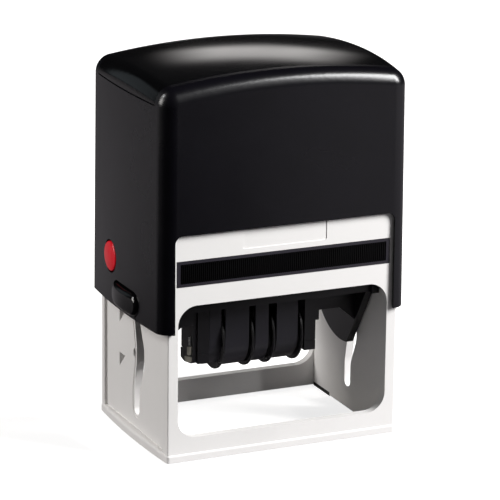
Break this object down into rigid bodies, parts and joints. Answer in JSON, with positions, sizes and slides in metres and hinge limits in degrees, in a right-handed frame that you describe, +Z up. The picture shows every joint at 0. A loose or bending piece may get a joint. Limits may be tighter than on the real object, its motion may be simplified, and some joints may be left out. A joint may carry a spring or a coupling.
{
  "type": "date stamp",
  "caption": "Self-inking date stamp: black press-down cover on a white frame, flipping print unit with thumb wheels, pull-out ink pad and lock buttons.",
  "frame": {"origin": "centre of the base on the paper", "axes": "+Z up along the press direction, -Y the front with the window and the pad, +X to the viewer's right"},
  "size_m": [0.09, 0.0582, 0.1235],
  "materials": {
    "white_plastic": "satin moulded white",
    "grey_plastic": "matte moulded grey",
    "black_satin": "satin moulded black",
    "black_gloss": "polished black",
    "black_matte": "matte moulded black",
    "red_plastic": "polished red",
    "black_rubber": "matte rubber",
    "band_rubber": "smooth dark rubber",
    "print_rubber": "matte rubber",
    "ink_foam": "inked felt-faced foam",
    "steel": "drawn steel"
  },
  "bodies": {
    "base": {"frame": "white_plastic", "base_feet": "black_rubber", "spring_deck": "grey_plastic", "return_spring_left": "steel", "return_spring_right": "steel"},
    "cover": {"cover": "black_satin", "top_cap": "black_gloss", "axle_cap_left": "black_gloss", "axle_cap_right": "black_gloss", "axle_pin_left": "steel", "axle_pin_right": "steel"},
    "lock_left": {"lock_button_left": "red_plastic"},
    "lock_right": {"lock_button_right": "red_plastic"},
    "pad": {"pad_cassette": "black_matte", "ink_pad": "ink_foam"},
    "die": {"die_holder": "black_matte", "text_plate": "black_matte", "text_rubber": "print_rubber", "dater_side_left": "black_matte", "dater_side_right": "black_matte", "band_nose": "black_matte", "wheel_axle": "steel", "date_band_1": "band_rubber", "date_band_2": "band_rubber", "date_band_3": "band_rubber", "date_band_4": "band_rubber"},
    "wheel_1": {"date_wheel_1": "black_matte"},
    "wheel_2": {"date_wheel_2": "black_matte"},
    "wheel_3": {"date_wheel_3": "black_matte"},
    "wheel_4": {"date_wheel_4": "black_matte"}
  },
  "joints": [
    {"name": "cover_press", "type": "slide", "parent": "base", "child": "cover", "axis": [0, 0, -1], "range_m": [0, 0.034], "stiffness_N_per_m": 450, "springref_m": -0.004, "deforming": ["return_spring_left", "return_spring_right"]},
    {"name": "die_flip", "type": "hinge", "parent": "cover", "child": "die", "pos_m": [0, -0.0013, 0.046], "axis": [1, 0, 0], "range_deg": [-1, 181]},
    {"name": "pad_slide", "type": "slide", "parent": "base", "child": "pad", "axis": [0, 1, 0], "range_m": [-0.052, 0]},
    {"name": "lock_left_push", "type": "slide", "parent": "cover", "child": "lock_left", "axis": [1, 0, 0], "range_m": [0, 0.0008], "stiffness_N_per_m": 600, "springref_m": -0.0005},
    {"name": "lock_right_push", "type": "slide", "parent": "cover", "child": "lock_right", "axis": [-1, 0, 0], "range_m": [0, 0.0008], "stiffness_N_per_m": 600, "springref_m": -0.0005},
    {"name": "date_wheel_1_spin", "type": "hinge", "parent": "die", "child": "wheel_1", "pos_m": [0, -0.0013, 0.0311], "axis": [1, 0, 0], "continuous": true},
    {"name": "date_wheel_2_spin", "type": "hinge", "parent": "die", "child": "wheel_2", "pos_m": [0, -0.0013, 0.0311], "axis": [1, 0, 0], "continuous": true},
    {"name": "date_wheel_3_spin", "type": "hinge", "parent": "die", "child": "wheel_3", "pos_m": [0, -0.0013, 0.0311], "axis": [1, 0, 0], "continuous": true},
    {"name": "date_wheel_4_spin", "type": "hinge", "parent": "die", "child": "wheel_4", "pos_m": [0, -0.0013, 0.0311], "axis": [1, 0, 0], "continuous": true}
  ],
  "couplings": [
    {"joint": "die_flip", "follows": "cover_press", "rad_per_m": 92.4}
  ]
}
